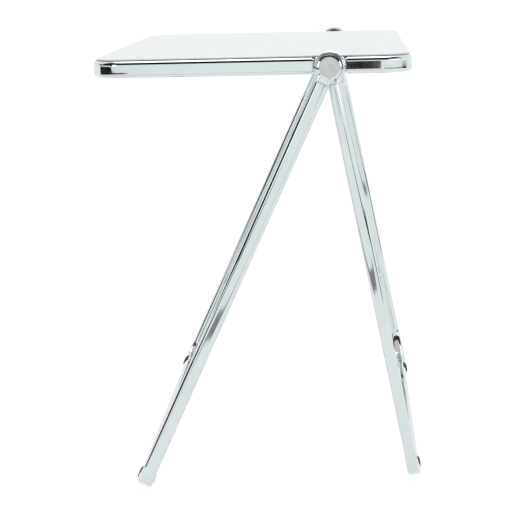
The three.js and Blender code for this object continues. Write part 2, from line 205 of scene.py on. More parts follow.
def u_tube(tube, reach):
    """A hollow U of tube with softly rounded lips at its open ends, as rings that close on themselves."""
    lip = 0.4 * MM
    side = tube["outer"] - tube["thick"] / 2
    line = u_line(side, tube["start"], reach - tube["thick"] / 2, tube["bend"] - tube["thick"] / 2)
    outside = [tube_ring(tube, *point, 0.0) for point in line]
    inside = [tube_ring(tube, *point, WALL) for point in line]
    ends = (line[0], line[-1])
    lips = [tube_ring(tube, *point, lip) for point in ends]
    into = Vector((0, 0, -lip))
    outside[0] = [p + into for p in outside[0]]
    outside[-1] = [p + into for p in outside[-1]]
    return [lips[0]] + outside + [lips[1]] + inside[::-1]


def reach_of(tube, lean):
    """The member's reach for which its glides' soles meet the floor."""
    side = tube["wide"] / 2 + GLIDE["wall"]
    drop = HUB.z + GLIDE["sole"] - side * math.sin(math.radians(lean))
    return drop / math.cos(math.radians(lean)) - GLIDE["wall"]


# ---- Turned pieces ----


def ring_of(radius, height, sides, steps):
    """A circle round Y, or a hexagon of that radius to its corners."""
    ring = []
    for i in range(steps):
        turn = 2 * math.pi * i / steps
        reach = radius
        if sides == 6:
            reach = radius * math.cos(math.pi / 6) / math.cos((turn % (math.pi / 3)) - math.pi / 6)
        ring.append(Vector((reach * math.cos(turn), height, reach * math.sin(turn))))
    return ring


def turned(profile, steps):
    """Rings round Y from points given as radius, height and, for a hexagon, 6."""
    rings = []
    for radius, height, *sides in profile:
        rings.append(ring_of(radius, height, sides[0] if sides else 0, steps))
    return rings


def arc(radius, x, y, start, end, steps=5):
    """Points round a quarter circle or less, with its centre at x, y and its angles in degrees."""
    turns = [math.radians(start + (end - start) * i / steps) for i in range(steps + 1)]
    return [(x + radius * math.cos(t), y + radius * math.sin(t)) for t in turns]


# ---- Castings ----


def hub_outline(radius, half_neck, length, fillet):
    """A disc with a neck that hangs from it, joined by fillets: XZ points with their outward normals."""
    centre = Vector((half_neck + fillet, -math.sqrt((radius + fillet) ** 2 - (half_neck + fillet) ** 2)))
    low_turn = math.atan2(centre.y, centre.x)
    points = []
    disc_steps = DISC_STEPS - 16
    for i in range(disc_steps + 1):
        turn = low_turn + (math.pi - 2 * low_turn) * i / disc_steps
        normal = Vector((math.cos(turn), math.sin(turn)))
        points.append((normal * radius, normal))
    right = []
    for i in range(1, 8):
        turn = math.pi + low_turn * (1 - i / 7)
        normal = -Vector((math.cos(turn), math.sin(turn)))
        right.append((centre - normal * fillet, normal))
    corner = 2.5 * MM
    for i in range(6):
        turn = -math.pi / 2 * i / 5
        normal = Vector((math.cos(turn), math.sin(turn)))
        right.append((Vector((half_neck - corner, -length + corner)) + normal * corner, normal))
    left = [(Vector((-p.x, p.y)), Vector((-n.x, n.y))) for p, n in right]
    return points + left + right[::-1]


def casting_rings(outline, edge, core, middle, side):
    """Rings that close on themselves: round the outline with its edges set in, then back through the core.

    The edge is a list of inset and height, from the outer face inwards, and the core a list of radius and
    height, from the inner face outwards."""
    rings = []
    for inset, height in edge:
        rings.append([
            Vector((p.x - n.x * inset, side * (middle + height), p.y - n.y * inset)) for p, n in outline
        ])
    for radius, height in core:
        ring = []
        for p, _ in outline:
            flat = p.normalized() * radius
            ring.append(Vector((flat.x, side * (middle + height), flat.y)))
        rings.append(ring)
    return rings


def coned_edge(half, width, slope, round_off, inner):
    """An edge profile that falls away outside as a shallow cone, in degrees, before it rounds off."""
    start = half - (width - round_off) * math.tan(math.radians(slope))
    profile = [(width, half), (round_off + 0.02 * MM, start)]
    for i in range(1, 7):
        turn = math.radians(slope) + (math.pi / 2 - math.radians(slope)) * i / 6
        profile.append((round_off * (1 - math.sin(turn)), start - round_off * (1 - math.cos(turn))))
    for i in range(5):
        turn = math.pi / 2 * i / 4
        profile.append((inner * (1 - math.cos(turn)), -half + inner * (1 - math.sin(turn))))
    return profile


def soft_edge(half, outer_inset, outer_depth, inner):
    """An edge profile from the outer face to the inner one, its outer edge wider than its inner one."""
    profile = []
    for i in range(9):
        turn = math.pi / 2 * i / 8
        profile.append((outer_inset * (1 - math.sin(turn)), half - outer_depth * (1 - math.cos(turn))))
    for i in range(5):
        turn = math.pi / 2 * i / 4
        profile.append((inner * (1 - math.cos(turn)), -half + inner * (1 - math.sin(turn))))
    return profile


def bar_rings(wide, thick, radius, near, far):
    """A bar of rounded section that hangs from one depth below the hub axis to another, with eased ends."""
    ease = 0.5 * MM
    rings = []
    for depth, inset in ((near, 0.0), (far - ease, 0.0), (far, ease)):
        section = rounded_section(wide - 2 * inset, thick - 2 * inset, radius - inset)
        rings.append([Vector((u, v, -depth)) for u, v in section])
    return rings


# ---- Materials ----


class Nodes:
    """A material's node tree, with short calls for the few nodes that the materials use."""

    def __init__(self, name, color, **values):
        self.material = bpy.data.materials.new(name)
        self.material.use_nodes = True
        self.tree = self.material.node_tree
        self.shader = self.tree.nodes["Principled BSDF"]
        self.shader.inputs["Base Color"].default_value = (*color, 1)
        for socket, value in values.items():
            self.shader.inputs[socket.replace("_", " ")].default_value = value
        self.place = self.tree.nodes.new("ShaderNodeTexCoord").outputs["Object"]

    def link(self, output, socket):
        self.tree.links.new(output, socket)

    def stretched(self, scale):
        node = self.tree.nodes.new("ShaderNodeMapping")
        node.inputs["Scale"].default_value = scale
        self.link(self.place, node.inputs["Vector"])
        return node.outputs["Vector"]

    def noise(self, scale, detail=3.0, rough=0.5, where=None):
        node = self.tree.nodes.new("ShaderNodeTexNoise")
        node.inputs["Scale"].default_value = scale
        node.inputs["Detail"].default_value = detail
        node.inputs["Roughness"].default_value = rough
        self.link(where or self.place, node.inputs["Vector"])
        return node.outputs["Fac"]

    def ramp(self, factor, low, high, dark, light):
        node = self.tree.nodes.new("ShaderNodeMapRange")
        node.inputs["From Min"].default_value = low
        node.inputs["From Max"].default_value = high
        node.inputs["To Min"].default_value = dark
        node.inputs["To Max"].default_value = light
        self.link(factor, node.inputs["Value"])
        return node.outputs["Result"]

    def colors(self, factor, dark, light):
        node = self.tree.nodes.new("ShaderNodeMix")
        node.data_type = "RGBA"
        self.link(factor, node.inputs["Factor"])
        node.inputs["A"].default_value = (*dark, 1)
        node.inputs["B"].default_value = (*light, 1)
        self.link(node.outputs["Result"], self.shader.inputs["Base Color"])

    def math(self, operation, a, b):
        node = self.tree.nodes.new("ShaderNodeMath")
        node.operation = operation
        for socket, value in zip(node.inputs, (a, b)):
            if isinstance(value, (int, float)):
                socket.default_value = value
            else:
                self.link(value, socket)
        return node.outputs["Value"]

    def bump(self, height, distance, strength=1.0, under=None):
        node = self.tree.nodes.new("ShaderNodeBump")
        node.inputs["Distance"].default_value = distance
        node.inputs["Strength"].default_value = strength
        self.link(height, node.inputs["Height"])
        if under:
            self.link(under, node.inputs["Normal"])
        self.link(node.outputs["Normal"], self.shader.inputs["Normal"])
        return node.outputs["Normal"]


def chromed_steel():
    """Bright chrome over drawn tube: faint waves, fine polishing lines and a little haze."""
    n = Nodes("chromed_steel", (0.64, 0.693, 0.706), Metallic=1.0)
    haze = n.noise(14, 4)
    lines = n.noise(900, 2, where=n.stretched((1, 1, 0.02)))
    n.colors(n.ramp(haze, 0.3, 0.7, 0, 1), (0.62, 0.672, 0.685), (0.66, 0.714, 0.727))
    rough = n.math("ADD", n.ramp(haze, 0.35, 0.75, 0.035, 0.085), n.ramp(lines, 0.55, 0.8, 0, 0.05))
    n.link(rough, n.shader.inputs["Roughness"])
    waves = n.bump(n.noise(11, 1), 0.25 * MM, 0.35)
    n.bump(lines, 0.004 * MM, 0.5, under=waves)
    return n.material


def hub_distance(n):
    """The distance from the hub axis."""
    shifted = n.tree.nodes.new("ShaderNodeMapping")
    shifted.inputs["Location"].default_value = (-HUB.x, 0, -HUB.z)
    shifted.inputs["Scale"].default_value = (1, 0, 1)
    n.link(n.place, shifted.inputs["Vector"])
    length = n.tree.nodes.new("ShaderNodeVectorMath")
    length.operation = "LENGTH"
    n.link(shifted.outputs["Vector"], length.inputs[0])
    return length.outputs["Value"]


def brushed_cap():
    """Matt steel, faintly cloudy, with fine lines turned round the hub axis."""
    n = Nodes("brushed_cap", (0.69, 0.73, 0.73), Metallic=1.0)
    circles = n.tree.nodes.new("ShaderNodeTexNoise")
    circles.noise_dimensions = "1D"
    circles.inputs["Scale"].default_value = 5200
    circles.inputs["Detail"].default_value = 4
    n.link(hub_distance(n), circles.inputs["W"])
    cloud = n.noise(90, 4)
    n.colors(n.ramp(cloud, 0.3, 0.7, 0, 1), (0.54, 0.575, 0.575), (0.68, 0.715, 0.715))
    lines = n.ramp(circles.outputs["Fac"], 0.4, 0.7, 0, 0.08)
    rough = n.math("ADD", n.ramp(cloud, 0.3, 0.7, 0.3, 0.4), lines)
    n.link(rough, n.shader.inputs["Roughness"])
    n.bump(circles.outputs["Fac"], 0.02 * MM, 0.6)
    return n.material


def zinc_plated_steel():
    """Bright zinc with a fine grain, and painted shade that darkens it down in its recesses."""
    n = Nodes("zinc_plated_steel", (0.8, 0.82, 0.83), Metallic=1.0)
    grain = n.noise(420, 5, 0.65)
    # Painted shade: the Ambient Occlusion node darkens the base colour towards near black in sockets, corners
    # and other recesses.
    recess_occlusion = n.tree.nodes.new("ShaderNodeAmbientOcclusion")
    recess_occlusion.samples = 8
    recess_occlusion.only_local = True
    recess_occlusion.inputs["Distance"].default_value = 5 * MM
    painted_shade_ramp = n.ramp(recess_occlusion.outputs["AO"], 0.35, 0.75, 0.03, 0.8)
    bright = n.math("ADD", painted_shade_ramp, n.ramp(grain, 0.35, 0.7, 0, 0.12))
    # Near black where the painted shade falls in recesses, bright zinc in the open; the grain lightens it a
    # little.
    n.colors(bright, (0.02, 0.02, 0.022), (0.96, 0.98, 0.99))
    n.link(n.ramp(grain, 0.3, 0.7, 0.2, 0.36), n.shader.inputs["Roughness"])
    n.bump(grain, 0.03 * MM, 0.4)
    return n.material


def black_nylon():
    n = Nodes("black_nylon", (0.03, 0.03, 0.032))
    grain = n.noise(1500, 3, 0.6)
    n.colors(n.ramp(grain, 0.3, 0.7, 0, 1), (0.018, 0.018, 0.02), (0.045, 0.045, 0.048))
    n.link(n.ramp(grain, 0.3, 0.7, 0.4, 0.6), n.shader.inputs["Roughness"])
    n.bump(grain, 0.03 * MM, 0.5)
    return n.material


def black_rubber():
    """Matt moulded rubber, dusty where it has rubbed."""
    n = Nodes("black_rubber", (0.02, 0.02, 0.022))
    grain = n.noise(1100, 4, 0.65)
    dust = n.noise(70, 4)
    n.colors(n.ramp(dust, 0.4, 0.75, 0, 1), (0.012, 0.012, 0.014), (0.05, 0.05, 0.052))
    n.link(n.ramp(grain, 0.3, 0.7, 0.6, 0.85), n.shader.inputs["Roughness"])
    n.bump(grain, 0.08 * MM, 0.6)
    return n.material


def white_laminate():
    """White sheet with a fine pebble and a low sheen, very slightly uneven in tone."""
    n = Nodes("white_laminate", (0.83, 0.85, 0.855))
    n.shader.inputs["Specular IOR Level"].default_value = 0.4
    tone = n.noise(6, 4)
    pebble = n.noise(750, 4, 0.6)
    n.colors(n.ramp(tone, 0.3, 0.7, 0, 1), (0.81, 0.848, 0.862), (0.835, 0.868, 0.878))
    n.link(n.ramp(pebble, 0.3, 0.7, 0.34, 0.5), n.shader.inputs["Roughness"])
    n.bump(pebble, 0.05 * MM, 0.35)
    return n.material


def board():
    """Pressed board sealed with a pale backing paper, with its fibres just showing."""
    n = Nodes("board", (0.74, 0.73, 0.7))
    fibres = n.noise(260, 6, 0.7, where=n.stretched((1, 0.25, 1)))
    tone = n.noise(12, 4)
    n.colors(n.ramp(n.math("ADD", fibres, n.math("MULTIPLY", tone, 0.5)), 0.5, 1.0, 0, 1),
             (0.64, 0.63, 0.6), (0.8, 0.795, 0.77))
    n.link(n.ramp(fibres, 0.3, 0.7, 0.5, 0.75), n.shader.inputs["Roughness"])
    n.bump(fibres, 0.08 * MM, 0.4)
    return n.material


MATERIALS = {make.__name__: make() for make in (
    chromed_steel, brushed_cap, zinc_plated_steel, black_nylon, black_rubber, white_laminate, board)}

# ---- Tubes ----

MEMBERS = {
    "front": {"tube": FRONT, "lean": FRONT_LEAN, "body": "front_legs"},
    "rear": {"tube": REAR, "lean": -REAR_LEAN, "body": "rear_legs"},
}
for member_name, m in MEMBERS.items():
    reach = reach_of(m["tube"], abs(m["lean"]))
    rings = moved(member(m["lean"]), u_tube(m["tube"], reach))
    new_piece(f"{member_name}_leg_tube", m["body"], "chromed_steel", lambda bm: add_rings(bm, rings, True),
              f"{member_name}_leg_frame")
for end, reach, lean in (("front", RIM_FRONT_REACH, 90), ("rear", RIM_REAR_REACH, -90)):
    rings = moved(member(lean), u_tube(RIM, reach))
    new_piece(f"rim_{end}", "desk_top", "chromed_steel", lambda bm: add_rings(bm, rings, True),
              f"rim_{end}_tube")

# ---- Hubs ----

SIDES = {"left": -1, "right": 1}
HUB_HALF = 8.5 * MM
HUB_SHAPES = {
    "front": {"radius": 20 * MM, "fillet": 8 * MM, "middle": FRONT["outer"] - HUB_HALF,
              "make_edge": coned_edge, "edge": (3.1 * MM, 19, 0.8 * MM, 0.8 * MM)},
    "rear": {"radius": 24 * MM, "fillet": 6 * MM, "middle": REAR["outer"] - REAR["thick"] / 2 - 0.4 * MM,
             "make_edge": soft_edge, "edge": (2.6 * MM, 2.6 * MM, 1.6 * MM)},
}
RIM_HUB_EDGE = 4.2 * MM
CAP_SEAT = {"radius": 16.7 * MM, "depth": 2.1 * MM}
HEAD_SEAT = {"radius": 11.3 * MM, "depth": 8.7 * MM}
NUT_SEAT = {"radius": 11.4 * MM, "depth": 8 * MM}
RIM_END = 27.3 * MM


def spigot(tube, near, far, middle):
    """The bar that plugs a casting into its tube."""
    less = 2 * (WALL + GAP)
    rings = bar_rings(tube["wide"] - less, tube["thick"] - less, tube["round"] - WALL - GAP, near, far)
    return moved(Matrix.Translation((0, middle, 0)), rings)


def hub_core(name):
    """The rear casting's plain bore, or the front one's with its seats for the bolt's head and the cap."""
    bore = PIVOT + GAP
    if name == "rear":
        return [(bore, -HUB_HALF), (bore, HUB_HALF)]
    head_floor, cap_floor = HUB_HALF - HEAD_SEAT["depth"], HUB_HALF - CAP_SEAT["depth"]
    return [(bore, -HUB_HALF), (bore, head_floor), (HEAD_SEAT["radius"], head_floor),
            (HEAD_SEAT["radius"], cap_floor), (CAP_SEAT["radius"], cap_floor), (CAP_SEAT["radius"], HUB_HALF)]


def union(piece, other_rings):
    """Joins another closed solid to a piece."""
    mesh = bpy.data.meshes.new("tool")
    bm = bmesh.new()
    for rings in other_rings:
        add_rings(bm, rings)
    bmesh.ops.recalc_face_normals(bm, faces=bm.faces)
    bm.to_mesh(mesh)
    bm.free()
    tool = bpy.data.objects.new("tool", mesh)
    bpy.context.scene.collection.objects.link(tool)
    joined = piece.modifiers.new("join", "BOOLEAN")
    joined.operation = "UNION"
    joined.solver = "EXACT"
    joined.object = tool
    piece.modifiers.move(len(piece.modifiers) - 1, 0)
    shown = [m for m in piece.modifiers if m != joined]
    for m in shown:
        m.show_viewport = False
    bpy.context.view_layer.update()
    result = bpy.data.meshes.new_from_object(piece.evaluated_get(bpy.context.evaluated_depsgraph_get()))
    for m in shown:
        m.show_viewport = True
    piece.modifiers.remove(joined)
    bpy.data.objects.remove(tool)
    for polygon in result.polygons:
        polygon.use_smooth = True
    result.set_sharp_from_angle(angle=math.radians(SHARP_ANGLE))
    result.name = piece.name
    piece.data = result


def rim_outline():
    """The rim casting's outline: flat above and below, and round at both ends, with eased corners."""
    half, ease = RIM["wide"] / 2, 1.2 * MM
    points = []
    for i in range(DISC_STEPS):
        turn = 2 * math.pi * i / DISC_STEPS
        flat, round_end = half / max(1e-9, abs(math.sin(turn))), RIM_END
        reach = min(flat, round_end) - ease * math.exp(-abs(flat - round_end) / (1.6 * MM)) * 0.5
        points.append(Vector((math.cos(turn), math.sin(turn))) * reach)
    outline = []
    for i, p in enumerate(points):
        along = points[(i + 1) % len(points)] - points[i - 1]
        outline.append((p, Vector((along.y, -along.x)).normalized()))
    return outline


for name, sign in SIDES.items():
    for hub_name, shape in HUB_SHAPES.items():
        m = MEMBERS[hub_name]
        tube = m["tube"]
        half_neck = tube["wide"] / 2 - WALL - GAP
        outline = hub_outline(shape["radius"], half_neck, tube["start"] - GAP, shape["fillet"])
        edge = shape["make_edge"](HUB_HALF, *shape["edge"])
        rings = casting_rings(outline, edge, hub_core(hub_name), shape["middle"], sign)
        rings = moved(member(m["lean"]), rings)
        piece = new_piece(f"{hub_name}_hub_{name}", m["body"], "chromed_steel",
                          lambda bm: add_rings(bm, rings, True), f"{hub_name}_hub_casting_{name}")
        plug = spigot(tube, tube["start"] - SPIGOT["overlap"], SPIGOT["end"],
                      sign * (tube["outer"] - tube["thick"] / 2))
        union(piece, [moved(member(m["lean"]), plug)])
    edge = soft_edge(RIM["thick"] / 2, RIM_HUB_EDGE, RIM_HUB_EDGE, RIM_HUB_EDGE)
    rim_middle = RIM["outer"] - RIM["thick"] / 2
    floor = NUT_SEAT["depth"] - RIM["thick"] / 2
    bore = [(NUT_SEAT["radius"], -RIM["thick"] / 2), (NUT_SEAT["radius"], floor), (PIVOT + GAP, floor),
            (PIVOT + GAP, RIM["thick"] / 2)]
    rings = moved(member(0), casting_rings(rim_outline(), edge, bore, rim_middle, sign))
    piece = new_piece(f"rim_hub_{name}", "desk_top", "chromed_steel", lambda bm: add_rings(bm, rings, True),
                      f"rim_hub_casting_{name}")
    arm = spigot(RIM, RIM_SPIGOT["start"], RIM_SPIGOT["end"], sign * rim_middle)
    union(piece, [moved(member(turn), arm) for turn in (90, -90)])

# ---- Caps, bolts, nuts, pins and washers ----

CAP_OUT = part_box("hub_cap_right")[1].y
BOLT_IN, BOLT_OUT = (corner.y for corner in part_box("pivot_bolt_right"))
NUT_IN, NUT_OUT = (corner.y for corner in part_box("pivot_nut_right"))


def hub_piece(name, node, side, slot, profile, steps, cyclic=False):
    """A piece turned round the hub axis, by radius and distance from the middle of the desk."""
    sign = SIDES[side]
    rings = [[Vector((p.x, sign * p.y, p.z)) + HUB for p in ring] for ring in turned(profile, steps)]
    new_piece(name, "front_legs", slot, lambda bm: add_rings(bm, rings, cyclic), node)


def ring_profile(inner, outer, low, high, ease):
    """A flat ring with eased outer edges."""
    return [(inner, low), (outer - ease, low), (outer, low + ease),
            (outer, high - ease), (outer - ease, high), (inner, high)]


for name in SIDES:
    cap_radius, cap_ease = CAP["radius"], CAP["ease"]
    cap_low = CAP_OUT - CAP["thick"]
    cap = [(CORE, cap_low), (cap_radius, cap_low)]
    cap += arc(cap_ease, cap_radius - cap_ease, CAP_OUT - cap_ease, 0, 90)
    cap += [(cap_radius * 0.6, CAP_OUT), (CORE, CAP_OUT)]
    hub_piece(f"cap_{name}", f"hub_cap_{name}", name, "brushed_cap", cap, DISC_STEPS)

    head, socket_floor = BOLT_OUT - BOLT["thick"], BOLT_OUT - BOLT["deep"]
    bolt = [(CORE, BOLT_IN), (PIVOT - MM, BOLT_IN), (PIVOT, BOLT_IN + MM), (PIVOT, head),
            (BOLT["radius"], head), (BOLT["radius"], BOLT_OUT - BOLT["ease"]),
            (BOLT["radius"] - BOLT["ease"], BOLT_OUT), (BOLT["socket"], BOLT_OUT, 6),
            (BOLT["socket"], socket_floor, 6), (CORE, socket_floor)]
    hub_piece(f"bolt_{name}", f"pivot_bolt_{name}", name, "zinc_plated_steel", bolt, HEX_STEPS)

    nut = [(PIVOT + GAP, NUT_IN), (NUT["flat"], NUT_IN), (NUT["radius"], NUT_IN + NUT["ease"], 6),
           (NUT["radius"], NUT_OUT - NUT["ease"], 6), (NUT["flat"], NUT_OUT), (PIVOT + GAP, NUT_OUT)]
    hub_piece(f"nut_{name}", f"pivot_nut_{name}", name, "zinc_plated_steel", nut, HEX_STEPS, cyclic=True)

    for place, radius in WASHER_RADII.items():
        node = f"{place}_washer_{name}"
        low, high = sorted(abs(corner.y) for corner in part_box(node))
        ring = ring_profile(PIVOT + GAP, radius, low, high, 0.3 * MM)
        hub_piece(f"{place}_spacer_{name}", node, name, "black_nylon", ring, DISC_STEPS, cyclic=True)

    node = f"stop_pin_{name}"
    low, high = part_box(node)
    pin_radius, pin_ease = (high.x - low.x) / 2, 0.4 * MM
    centre = (low + high) / 2
    pin = []
    for depth, radius in ((low.y, pin_radius - pin_ease), (low.y + pin_ease, pin_radius),
                          (high.y - pin_ease, pin_radius), (high.y, pin_radius - pin_ease)):
        circle = ring_of(radius, 0, 0, SCREW_STEPS)
        pin.append([Vector((p.x + centre.x, depth, p.z + centre.z)) for p in circle])
    new_piece(f"pin_{name}", "front_legs", "zinc_plated_steel", lambda bm: add_rings(bm, pin), node)

# ---- Screws ----


def button_screw(head, thick, shank, length):
    """A button-head screw along +Y with a hexagon socket, its head's underside at y = 0."""
    socket = head * 0.38
    turns = [math.radians(degrees) for degrees in range(0, 58, 8)]
    dome = [(head * math.cos(turn), -thick * math.sin(turn)) for turn in turns]
    profile = [(shank * 0.1, length), (shank * 0.7, length), (shank, length - 0.8 * MM), (shank, 0),
               (head, 0)]
    profile += dome[1:]
    profile += [(socket, -thick, 6), (socket, 1.2 * MM, 6), (shank * 0.1, 2.4 * MM)]
    return turned(profile, SCREW_STEPS)


def set_screw(radius, length):
    """A headless screw along +Y with a hexagon socket in its end at y = 0."""
    ease, socket = 0.5 * MM, radius * 0.6
    profile = [(radius * 0.1, length), (radius * 0.7, length), (radius, length - MM), (radius, ease),
               (radius - ease, 0), (socket, 0, 6), (socket, 3 * MM, 6), (radius * 0.1, 3.2 * MM)]
    return turned(profile, SCREW_STEPS)


def place_screw(name, node, body, screw, matrix):
    rings = moved(matrix, screw)
    new_piece(name, body, "zinc_plated_steel", lambda bm: add_rings(bm, rings), node, smooth=25)


LEG_SCREW = button_screw(5.2 * MM, 2.4 * MM, 2.9 * MM, 11.7 * MM)
RIM_SCREW = set_screw(2.9 * MM, 11 * MM)
TAB_HEAD = 1.8 * MM
TAB_SCREW = button_screw(3.6 * MM, TAB_HEAD, 1.9 * MM, 10 * MM)
UPWARD = Matrix.Rotation(math.pi / 2, 4, "X")
for name, sign in SIDES.items():
    outward = Matrix.Rotation(0 if sign > 0 else math.pi, 4, "Z")
    for member_name, m in MEMBERS.items():
        tube = m["tube"]
        inner = tube["outer"] - tube["thick"] - GAP
        spot = member(m["lean"]) @ Matrix.Translation((0, sign * inner, -LEG_SCREW_REACH)) @ outward
        node = f"{member_name}_leg_screw_{name}"
        place_screw(f"{member_name}_screw_{name}", node, m["body"], LEG_SCREW, spot)
    for end in ("front", "rear"):
        node = f"rim_screw_{end}_{name}"
        low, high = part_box(node)
        spot = Matrix.Translation(((low.x + high.x) / 2, (low.y + high.y) / 2, low.z)) @ UPWARD
        place_screw(f"rim_{end}_screw_{name}", node, "desk_top", RIM_SCREW, spot)

# ---- Glides ----


def glide_rings(tube, reach, lean, place):
    """A clip round the crossbar, thicker below, open above, with a sole cut level with the floor."""
    wall, lip = GLIDE["wall"], GLIDE["lip"]
    half_out, half_in = tube["wide"] / 2 + wall, tube["wide"] / 2 + GAP
    centre = -(reach - tube["thick"] / 2)
    deep_in = tube["thick"] / 2 + GAP
    corner = tube["round"] + GAP
    steps = 10

    def inner(turn):
        """The bore, by angle from straight up, as a rounded rectangle."""
        direction = Vector((math.sin(turn), math.cos(turn)))
        reach_in = min(half_in / max(1e-6, abs(direction.x)), deep_in / max(1e-6, abs(direction.y)))
        point = direction * reach_in
        over_x, over_y = abs(point.x) - (half_in - corner), abs(point.y) - (deep_in - corner)
        if over_x > 0 and over_y > 0:
            share = corner / max(corner, math.hypot(over_x, over_y))
            point = Vector((math.copysign(half_in - corner + over_x * share, point.x),
                            math.copysign(deep_in - corner + over_y * share, point.y)))
        return point

    mouth = math.atan2(half_in - lip, deep_in)
    turns = [mouth + (2 * math.pi - 2 * mouth) * i / (6 * steps) for i in range(6 * steps + 1)]
    inside, outside = [], []
    for turn in turns:
        point = inner(turn)
        down = (1 - math.cos(turn)) / 2
        thick = wall * (0.35 + 0.75 * math.sin(math.pi * min(1, down * 1.15) / 2) ** 1.5)
        inside.append(point)
        outside.append(point + point.normalized() * min(thick, half_out - half_in + GLIDE["ease"]))
    outline = inside + outside[::-1]
    rings = []
    ease, half_length = GLIDE["ease"], GLIDE["length"] / 2
    sections = [(-half_length, ease), (-half_length + ease * 0.3, ease * 0.3), (-half_length + ease, 0)]
    sections += [(-along, inset) for along, inset in reversed(sections)]
    for along, inset in sections:
        ring = []
        for i, point in enumerate(outline):
            pulled = point - point.normalized() * inset if i >= len(inside) else point
            ring.append(Vector((pulled.x, place + along, pulled.y + centre)))
        rings.append(ring)
    return moved(member(lean), rings)


def build_glide(bm, rings):
    """A glide cut off just above the floor."""
    add_rings(bm, rings)
    geometry = bm.verts[:] + bm.edges[:] + bm.faces[:]
    cut = bmesh.ops.bisect_plane(bm, geom=geometry, plane_co=(0, 0, 0.02 * MM), plane_no=(0, 0, -1),
                                 clear_outer=True)
    edges = [e for e in cut["geom_cut"] if isinstance(e, bmesh.types.BMEdge)]
    bmesh.ops.holes_fill(bm, edges=edges)


for member_name, m in MEMBERS.items():
    for name in SIDES:
        reach = reach_of(m["tube"], abs(m["lean"]))
        low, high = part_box(f"{member_name}_glide_{name}")
        rings = glide_rings(m["tube"], reach, m["lean"], (low.y + high.y) / 2)
        new_piece(f"{member_name}_foot_{name}", m["body"], "black_rubber", lambda bm: build_glide(bm, rings),
                  f"{member_name}_glide_{name}")

# ---- Top ----


def plate_rings(node, corner, ease):
    """A rounded plate that fills a node's box, with its upper and lower edges rounded by an arc."""
    low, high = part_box(node)
    middle = (low + high) / 2
    half = (high - low) / 2
    levels = []
    for i in range(5):
        turn = math.pi / 2 * i / 4
        levels.append((ease * (1 - math.sin(turn)), low.z + ease * (1 - math.cos(turn))))
    levels += [(inset, low.z + high.z - z) for inset, z in reversed(levels)]
    rings = []
    for inset, z in levels:
        ring = []
        for sx, sy, start in ((1, 1, 0), (-1, 1, 90), (-1, -1, 180), (1, -1, 270)):
            for i in range(CORNER_STEPS + 1):
                turn = math.radians(start + 90 * i / CORNER_STEPS)
                x = sx * (half.x - corner) + (corner - inset) * math.cos(turn)
                y = sy * (half.y - corner) + (corner - inset) * math.sin(turn)
                ring.append(Vector((middle.x + x, middle.y + y, z)))
        rings.append(ring)
    return rings


skin_inset = RIM["outer"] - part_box("top_skin")[1].y
skin = plate_rings("top_skin", RIM["bend"] - skin_inset, 0.7 * MM)
new_piece("desk_skin", "desk_top", "white_laminate", lambda bm: add_rings(bm, skin), "top_skin", smooth=50)
core = plate_rings("top_core", RIM["bend"] - RIM["thick"], 1.0 * MM)
new_piece("desk_board", "desk_top", "board", lambda bm: add_rings(bm, core), "top_core", smooth=50)


def tab_rings(low, high, end):
    """An angle with a rounded bend and rounded corners, its upright leg against the rim's inner wall."""
    thick, bend = 2 * MM, 3 * MM
    length, reach = high.z - low.z, high.x - low.x
    wall = high.x if end > 0 else low.x
    outline = [(0, -length)] + arc(bend, -bend, -bend, 0, 90, 6)
    outline += [(-reach, 0), (-reach, -thick)] + arc(bend - thick, -bend, -bend, 90, 0, 6)
    outline.append((-thick, -length))
    ease = 0.4 * MM
    rings = []
    for y in (low.y, low.y + ease, high.y - ease, high.y):
        shrink = 0.985 if y in (low.y, high.y) else 1.0
        ring = []
        for x, z in outline:
            ring.append(Vector((wall + end * x * shrink, y, high.z + z * shrink)))
        rings.append(ring)
    return rings


for end_name, end in (("front", -1), ("rear", 1)):
    for name in SIDES:
        node = f"rim_tab_{end_name}_{name}"
        tab = tab_rings(*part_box(node), end)
        new_piece(f"tab_{end_name}_{name}", "desk_top", "zinc_plated_steel",
                  lambda bm: add_rings(bm, tab), node)
        node = f"tab_screw_{end_name}_{name}"
        low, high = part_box(node)
        spot = Matrix.Translation(((low.x + high.x) / 2, (low.y + high.y) / 2, low.z + TAB_HEAD)) @ UPWARD
        place_screw(f"board_screw_{end_name}_{name}", node, "desk_top", TAB_SCREW, spot)

# ---- Stage, light and camera ----


def plain_sheet(name, points, faces, grey, glow, seen=True):
    """A flat, evenly coloured floor or card; one that isn't seen only shows in reflections."""
    mesh = bpy.data.meshes.new(name)
    mesh.from_pydata([Vector(p) for p in points], [], faces)
    sheet = bpy.data.objects.new(name, mesh)
    bpy.context.scene.collection.objects.link(sheet)
    material = bpy.data.materials.new(name)
    material.use_nodes = True
    shader = material.node_tree.nodes["Principled BSDF"]
    shader.inputs["Base Color"].default_value = (grey, grey, grey, 1)
    shader.inputs["Roughness"].default_value = 0.9
    shader.inputs["Specular IOR Level"].default_value = 0.0
    shader.inputs["Emission Color"].default_value = (1, 1, 1, 1)
    shader.inputs["Emission Strength"].default_value = glow
    mesh.materials.append(material)
    sheet.visible_camera = seen
    sheet.visible_diffuse = seen
    sheet.visible_shadow = seen


def screen(name, middle, posts, glow):
    """An upright card seen only in reflections.

    Each post is a bearing from -Y towards +X in degrees, a distance from the middle, a foot and a head."""
    points, faces = [], []
    for bearing, distance, foot, head in posts:
        turn = math.radians(bearing)
        x, y = middle[0] + distance * math.sin(turn), middle[1] - distance * math.cos(turn)
        points += [(x, y, foot), (x, y, head)]
    for i in range(0, len(points) - 2, 2):
        faces.append((i, i + 2, i + 3, i + 1))
    plain_sheet(name, points, faces, 0.015, glow, seen=False)


FLOOR = 40
corners = [(-FLOOR, -FLOOR, 0), (FLOOR, -FLOOR, 0), (FLOOR, FLOOR, 0), (-FLOOR, FLOOR, 0)]
plain_sheet("floor", corners, [(0, 1, 2, 3)], 0.25, 0.87)

